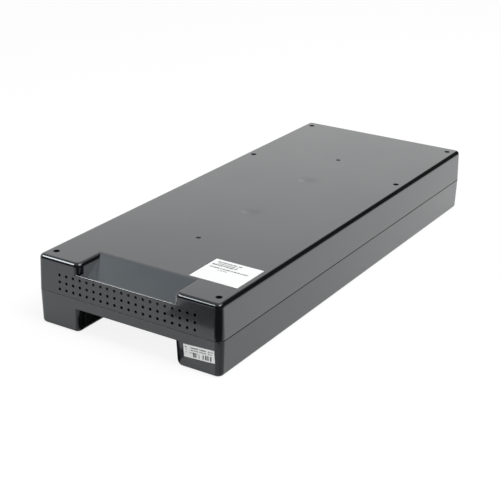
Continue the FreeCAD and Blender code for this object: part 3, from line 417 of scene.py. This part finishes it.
def makeFrontLabelLook():
    look = Look("label_front_paper")
    first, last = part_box("front_label")
    centre = (first + last) / 2
    turn, side = math.cos(frontLabel["lean"]), math.sin(frontLabel["lean"])
    right, up = look.x - centre.x, look.z - centre.z
    across = right * turn + up * side
    rise = up * turn - right * side
    rows = 0.0
    for start, end, middle, half in frontLabel["rows"]:
        rows = rows + across.within(start, end) * (abs(rise - middle) < half)
    rowGaps = look.noise(*frontLabel["rowGaps"]) > frontLabel["rowGapsFrom"]
    start, end, bottom, top = frontLabel["bars"]
    bars = across.within(start, end) * rise.within(bottom, top)
    barGaps = look.noise(*frontLabel["barGaps"]) > frontLabel["barGapsFrom"]
    ink = rows * rowGaps * frontLabel["rowStrength"] + bars * barGaps * frontLabel["barStrength"]
    return finishPaper(look, ink, frontLabel)


makeTopLabelLook().dress("top_label")
makeFrontLabelLook().dress("front_label")
print("labels done")


# ---- small hardware and the inside
# blotches have a scale and a detail; streaks and grain a detail here and a scale in the lists below
metal = {"blotch": (160, 3), "streaks": 4, "streakGloss": 0.16, "depth": 0.00001}
plastic = {"blotch": (55, 3), "grain": 3, "grainGloss": 0.12, "depth": 0.00001}


def piecesWith(part):
    return [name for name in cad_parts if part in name]


def makeMetalLook(name, colour, worn, roughness, scale, stretch):
    look = Look(name, Metallic=1.0)
    streaks = look.noise(scale, metal["streaks"], stretch)
    blotch = look.noise(*metal["blotch"])
    look.set("Base Color", look.blend(blotch, colour, worn))
    look.set("Roughness", roughness + streaks * metal["streakGloss"])
    look.relief((streaks + blotch) * metal["depth"])
    return look


def makePlasticLook(name, colour, worn, roughness, scale):
    look = Look(name)
    grain = look.noise(scale, plastic["grain"])
    look.set("Base Color", look.blend(look.noise(*plastic["blotch"]), colour, worn))
    look.set("Roughness", roughness + grain * plastic["grainGloss"])
    look.relief(grain * plastic["depth"])
    return look


# pieces, then the two colours that it varies between, roughness, and scale and stretch of the streaks
metals = {
    "tab_tin": (
        piecesWith("_tab_"), (0.66, 0.64, 0.6, 1), (0.74, 0.72, 0.68, 1), 0.3, 600, (0.1, 1, 1)
    ),
    "screw_zinc": (["case_screws"], grey(0.12), grey(0.2), 0.35, 900, (1, 1, 0.2)),
    "clip_tin": (
        piecesWith("fuse_clip_"), (0.7, 0.66, 0.56, 1), (0.78, 0.74, 0.65, 1), 0.28, 700, (1, 0.15, 1)
    ),
    "contact_silver": (
        ["power_contacts"], (0.78, 0.76, 0.7, 1), (0.84, 0.82, 0.78, 1), 0.25, 800, (1, 0.15, 1)
    ),
    "pin_gold": (["signal_pins"], (0.8, 0.6, 0.28, 1), (0.86, 0.68, 0.36, 1), 0.25, 900, (1, 0.15, 1)),
}

# the same for plastics, whose grain has a scale alone
plastics = {
    "block_plastic": (piecesWith("battery_"), grey(0.055, 0.03), grey(0.075, 0.03), 0.5, 1400),
    "receptacle_sleeve": (["flag_receptacles"], (0.66, 0.65, 0.6, 1), (0.74, 0.73, 0.68, 1), 0.35, 500),
    "lead_black_vinyl": (piecesWith("link_") + ["negative_lead"], grey(0.016), grey(0.024), 0.38, 700),
    "lead_red_vinyl": (
        ["positive_lead", "fused_lead"], (0.42, 0.015, 0.014, 1), (0.5, 0.022, 0.018, 1), 0.38, 700
    ),
    "fuse_ceramic": (["fuse"], (0.76, 0.74, 0.69, 1), (0.83, 0.81, 0.76, 1), 0.3, 500),
    "fuse_base_plastic": (["fuse_base"], grey(0.04), grey(0.055), 0.5, 1400),
    "connector_plastic": (["connector_housing"], grey(0.03, 0.03), grey(0.042, 0.03), 0.48, 1500),
}

for name, (pieces, *facts) in metals.items():
    makeMetalLook(name, *facts).dress(*pieces)
for name, (pieces, *facts) in plastics.items():
    makePlasticLook(name, *facts).dress(*pieces)
print("hardware done")


# ---- foam packing, a little crushed between the blocks and the walls
foam = {
    "strips": ("foam_left", "foam_right", "foam_rear"),
    "colours": (grey(0.07), grey(0.1)),
    "cells": 1100.0,
    "blotch": (70, 3),
    "gloss": (0.82, 0.12),
    "depth": 0.0001,
    # softened edges, and a cut for every few cells
    "edge": 0.0009,
    "edgeSteps": 3,
    "cell": 0.0035,
    "cellsPerCut": 4,
    # waves per 2 pi metres along each axis, thickness left, and how much it waves
    "waves": (210, 170, 260),
    "squeeze": 0.93,
    "give": 0.02,
}


def makeFoamLook():
    look = Look("foam_closed_cell")
    cells = look.node("ShaderNodeTexVoronoi", {}, Vector=look.spot, Scale=foam["cells"])
    look.set("Base Color", look.blend(look.noise(*foam["blotch"]), *foam["colours"]))
    rest, gain = foam["gloss"]
    look.set("Roughness", rest + cells * gain)
    look.relief(cells * foam["depth"])
    return look


def makeFoam(node, look):
    start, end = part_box(node)
    size, middle = end - start, (start + end) / 2
    strip = bmesh.new()
    spread = Matrix.Translation(middle) @ Matrix.Diagonal((*size, 1))
    bmesh.ops.create_cube(strip, size=1, matrix=spread)
    for axis in range(3):
        edges = [e for e in strip.edges if abs((e.verts[0].co - e.verts[1].co)[axis]) > foam["cell"]]
        cuts = int(size[axis] / foam["cell"] / foam["cellsPerCut"])
        if cuts and edges:
            bmesh.ops.subdivide_edges(strip, edges=edges, cuts=cuts, use_grid_fill=True)
    thin = min(range(3), key=lambda axis: size[axis])
    for vert in strip.verts:
        # the cells give a little between the points that hold them
        wave = sum(math.sin(spot * rate) for spot, rate in zip(vert.co, foam["waves"]))
        share = foam["squeeze"] + foam["give"] * wave
        vert.co[thin] = middle[thin] + (vert.co[thin] - middle[thin]) * share
    for face in strip.faces:
        face.smooth = True
    made = place("foamStrip_" + node, strip, look.material)
    soft = made.modifiers.new("softEdge", "BEVEL")
    soft.width = foam["edge"]
    soft.segments = foam["edgeSteps"]
    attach(made, "root")
    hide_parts(node)


foamLook = makeFoamLook()
for node in foam["strips"]:
    makeFoam(node, foamLook)
print("foam done")


# ---- floor, screens, lamps and camera
studio = {
    "white": (1, 1, 1, 1),
    "floorReach": 6.0,
    "floorSquares": 8,
    "floorColours": (grey(0.89), grey(0.91)),
    "floorNoise": (3, 2),
    "floorGlow": 0.88,
    "mirroredGlow": 0.4,
    "surround": 0.55,
}


def makeFloor():
    squares = studio["floorSquares"]
    grid = bmesh.new()
    bmesh.ops.create_grid(grid, x_segments=squares, y_segments=squares, size=studio["floorReach"])
    look = Look("floor_paper", Roughness=0.9, Specular_IOR_Level=0.0)
    look.set("Base Color", look.blend(look.noise(*studio["floorNoise"]), *studio["floorColours"]))
    seen, through, mirrored = look.rays("Camera", "Transmission", "Glossy")
    share = (seen + through) * studio["floorGlow"] + mirrored * studio["mirroredGlow"]
    glow = look.node("ShaderNodeEmission", {}, studio["white"], 1.0)
    lit = Wire(look, look.shader.outputs["BSDF"])
    look.show("Material Output", look.node("ShaderNodeMixShader", {}, share, lit, glow))
    made = place("studioFloor", grid, look.material)
    made.location.z = low.z


def makeWorld():
    world = bpy.data.worlds.new("studio")
    bpy.context.scene.world = world
    world.use_nodes = True
    world.node_tree.nodes.remove(world.node_tree.nodes["Background"])
    sky = Tree(world.node_tree)
    straight = sky.most(*sky.rays("Camera", "Glossy", "Transmission"))
    light = sky.node("ShaderNodeBackground", {}, studio["white"], studio["surround"])
    white = sky.node("ShaderNodeBackground", {}, studio["white"], 1.0)
    sky.show("World Output", sky.node("ShaderNodeMixShader", {}, straight, light, white))


# black screens that only reflections see: they keep the rounded edges crisp
screens = {
    "reach": 3.0,
    "foot": 0.001,
    "height": 3.0,
    "start": math.radians(8),
    "end": math.radians(-235),
    "steps": 40,
    "cloth": (grey(0.04), grey(0.06)),
    "clothNoise": (40, 2),
    # the same cloth on the floor, seen only in reflections: in front of the case, and in the notch
    # under it as a painted shadow
    "front": (
        (-0.02, -0.350),
        (0.09, -0.345),
        (0.15, -0.290),
        (0.22, -0.225),
        (1.4, -0.10),
        (1.4, -1.6),
        (-0.10, -1.6),
    ),
    "notch": ((-0.0540, -0.2850), (0.0540, -0.2850), (0.0540, -0.2120), (-0.0540, -0.2120)),
    "lift": 0.0006,
}


def makeScreen():
    sheet = bmesh.new()
    rails = []
    for step in range(screens["steps"] + 1):
        turn = screens["start"] + (screens["end"] - screens["start"]) * step / screens["steps"]
        spot = (-math.sin(turn) * screens["reach"], math.cos(turn) * screens["reach"])
        rises = (screens["foot"], screens["height"])
        rails.append([sheet.verts.new((*spot, low.z + rise)) for rise in rises])
    for near, far in zip(rails, rails[1:]):
        sheet.faces.new((near[0], far[0], far[1], near[1]))
    for corners in (screens["front"], screens["notch"]):
        sheet.faces.new([sheet.verts.new((*spot, low.z + screens["lift"])) for spot in corners])
    look = Look("screen_cloth", Roughness=0.95, Specular_IOR_Level=0.0)
    look.set("Base Color", look.blend(look.noise(*screens["clothNoise"]), *screens["cloth"]))
    made = place("darkScreen", sheet, look.material)
    made.visible_camera = False
    made.visible_diffuse = False
    made.visible_shadow = False


lamps = {
    # place, aimed at, size across and up, power, seen in reflections only
    "strip": ((-1.85, -1.35, 1.85), (0, -0.1, 0), 1.7, 0.8, 90, True),
    "key": ((1.35, -0.35, 2.4), (0, 0, 0), 1.2, 1.2, 50, False),
    "fill": ((0.6, 0.6, 2.4), (0, 0, 0), 1.6, 1.6, 15, False),
}


def makeLamp(name, spot, target, across, up, power, mirroredOnly):
    lamp = bpy.data.lights.new(name, "AREA")
    lamp.shape = "RECTANGLE"
    lamp.size = across
    lamp.size_y = up
    lamp.energy = power
    made = bpy.data.objects.new(name, lamp)
    made.visible_diffuse = not mirroredOnly
    made.location = spot
    made.rotation_euler = (Vector(target) - Vector(spot)).to_track_quat("-Z", "Y").to_euler()
    bpy.context.collection.objects.link(made)


camera = {
    "place": (0.6194, -1.0432, 0.5199),
    "ahead": (-0.4864, 0.7824, -0.3889),
    "roll": math.radians(0.891),
    "lens": 87.38,
    "sensor": 36,
    "nearest": 0.01,
    "furthest": 50,
}


def makeCamera():
    lens = bpy.data.cameras.new("camera")
    lens.sensor_width = camera["sensor"]
    lens.lens = camera["lens"]
    lens.clip_start = camera["nearest"]
    lens.clip_end = camera["furthest"]
    made = bpy.data.objects.new("camera", lens)
    made.location = camera["place"]
    level = Vector(camera["ahead"]).to_track_quat("-Z", "Y").to_matrix()
    made.rotation_euler = (level @ Matrix.Rotation(camera["roll"], 3, "Z")).to_euler()
    bpy.context.collection.objects.link(made)
    bpy.context.scene.camera = made


makeFloor()
makeScreen()
makeWorld()
for name, facts in lamps.items():
    makeLamp(name, *facts)
makeCamera()
bpy.context.scene.view_settings.view_transform = "Standard"
print("stage done")
